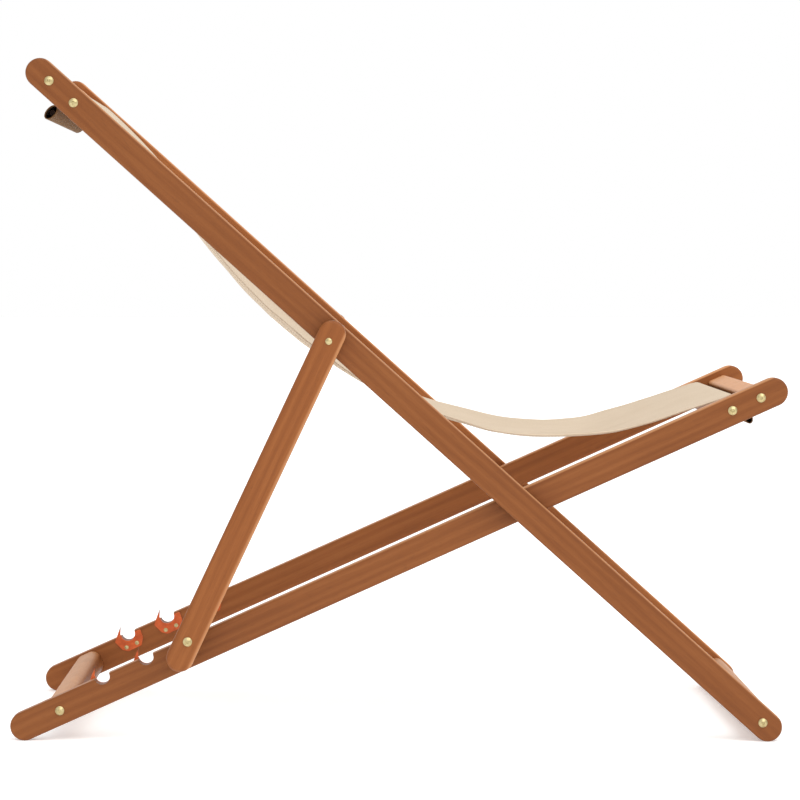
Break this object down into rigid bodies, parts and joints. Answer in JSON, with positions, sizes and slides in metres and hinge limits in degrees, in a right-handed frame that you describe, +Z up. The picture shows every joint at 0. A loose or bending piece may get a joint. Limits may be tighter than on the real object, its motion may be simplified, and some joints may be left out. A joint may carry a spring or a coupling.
{
  "type": "folding deck chair",
  "caption": "Folding deck chair with two crossed wooden frames, a notched prop frame and a slung canvas seat.",
  "frame": {"origin": "on the floor, at the bottom centre of the open chair's bounding box", "axes": "+X towards the front of the seat, +Y towards the sitter's left, +Z up"},
  "size_m": [1.0242, 0.5904, 0.8945],
  "materials": {
    "oiled_hardwood": "satin",
    "sling_rod_wood": "matte",
    "brass": "satin",
    "clip_plastic": "satin",
    "canvas": "matte"
  },
  "bodies": {
    "back_frame": {"back_rail_right": "oiled_hardwood", "back_rail_left": "oiled_hardwood", "top_slat_outer": "oiled_hardwood", "top_slat_inner": "oiled_hardwood", "foot_rung": "oiled_hardwood", "back_frame_bolts": "brass", "main_pivot_bolts": "brass", "prop_pivot_bolts": "brass", "pivot_inserts": "brass", "main_pivot_washers": "brass", "prop_pivot_washers": "brass", "top_sling_rod": "sling_rod_wood", "sling_back": "canvas"},
    "seat_frame": {"seat_rail_right": "oiled_hardwood", "seat_rail_left": "oiled_hardwood", "front_slat_outer": "oiled_hardwood", "front_slat_inner": "oiled_hardwood", "rear_rung": "oiled_hardwood", "seat_frame_bolts": "brass", "notch_clip_right_1": "clip_plastic", "notch_clip_right_2": "clip_plastic", "notch_clip_right_3": "clip_plastic", "notch_clip_left_1": "clip_plastic", "notch_clip_left_2": "clip_plastic", "notch_clip_left_3": "clip_plastic", "notch_clip_screws": "brass", "front_sling_rod": "sling_rod_wood", "sling_seat": "canvas"},
    "prop_frame": {"prop_leg_right": "oiled_hardwood", "prop_leg_left": "oiled_hardwood", "prop_bar": "oiled_hardwood", "prop_bar_bolts": "brass"}
  },
  "joints": [
    {"name": "fold", "type": "hinge", "parent": "back_frame", "child": "seat_frame", "pos_m": [0.16073, 0, 0.31074], "axis": [0, 1, 0], "range_deg": [0, 56.5]},
    {"name": "prop_swing", "type": "hinge", "parent": "back_frame", "child": "prop_frame", "pos_m": [-0.09178, 0, 0.52707], "axis": [0, 1, 0], "range_deg": [0, 103.8]}
  ],
  "couplings": [
    {"joint": "prop_swing", "follows": "fold", "ratio": 1.8371}
  ]
}
